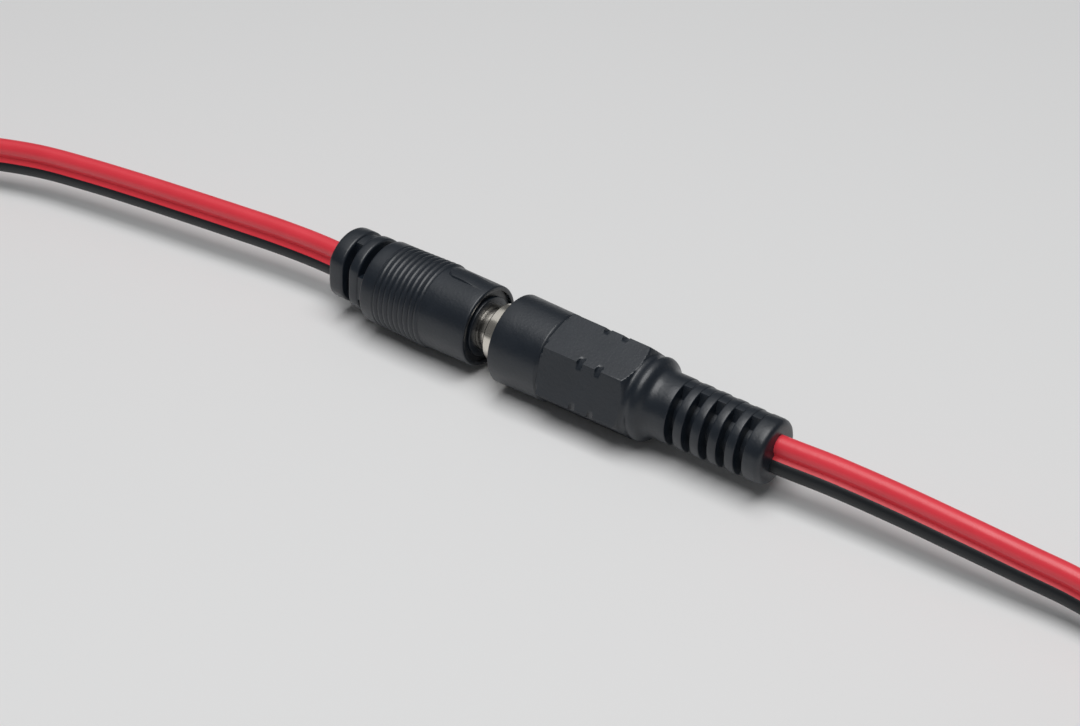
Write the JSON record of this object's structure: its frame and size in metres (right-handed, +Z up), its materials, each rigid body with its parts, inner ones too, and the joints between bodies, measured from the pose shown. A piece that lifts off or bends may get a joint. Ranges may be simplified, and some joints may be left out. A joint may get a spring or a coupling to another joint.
{
  "type": "dc power pigtail",
  "caption": "Coaxial dc power plug lead pushed into a matching socket lead, each a moulded black connector with a slotted strain relief on a red and black twin cord with tinned ends.",
  "frame": {"origin": "on the floor below the middle of the mated connectors, without the leads", "axes": "+X along the connectors from the plug to the socket, +Z up"},
  "size_m": [0.3158, 0.0327, 0.0113],
  "materials": {
    "black_mould": "satin moulded PVC with a fine grain",
    "nickel": "bright nickel plating on brass",
    "insulator": "plain moulded insulator",
    "inner_mould": "plain first moulding",
    "solder": "dull solder",
    "copper": "bare copper strands",
    "spring_bronze": "spring bronze strip",
    "red_pvc": "smooth red PVC insulation",
    "black_pvc": "smooth black PVC insulation",
    "tie_black": "plain flat tie",
    "tinned": "tinned copper strands"
  },
  "bodies": {
    "socket_lead": {"jack_overmould": "black_mould", "jack_sleeve": "nickel", "jack_pin": "nickel", "jack_insulator": "insulator", "jack_inner_mould": "inner_mould", "jack_solder_red": "solder", "jack_solder_black": "solder", "jack_wire_red": "copper", "jack_wire_black": "copper", "jack_leaf": "spring_bronze", "jack_lead_red": "red_pvc", "jack_tail_red": "red_pvc", "jack_hank": "red_pvc", "jack_lead_black": "black_pvc", "jack_tail_black": "black_pvc", "jack_tie": "tie_black", "jack_end_red": "tinned", "jack_end_black": "tinned"},
    "plug_lead": {"plug_overmould": "black_mould", "plug_barrel": "nickel", "plug_tip_tube": "nickel", "plug_insulator": "insulator", "plug_inner_mould": "inner_mould", "plug_solder_red": "solder", "plug_solder_black": "solder", "plug_wire_red": "copper", "plug_wire_black": "copper", "plug_lead_red": "red_pvc", "plug_tail_red": "red_pvc", "plug_hank": "red_pvc", "plug_lead_black": "black_pvc", "plug_tail_black": "black_pvc", "plug_tie": "tie_black", "plug_end_red": "tinned", "plug_end_black": "tinned"}
  },
  "joints": [
    {"name": "unplug", "type": "slide", "parent": "socket_lead", "child": "plug_lead", "axis": [-1, 0, 0], "range_m": [0, 0.012]}
  ]
}
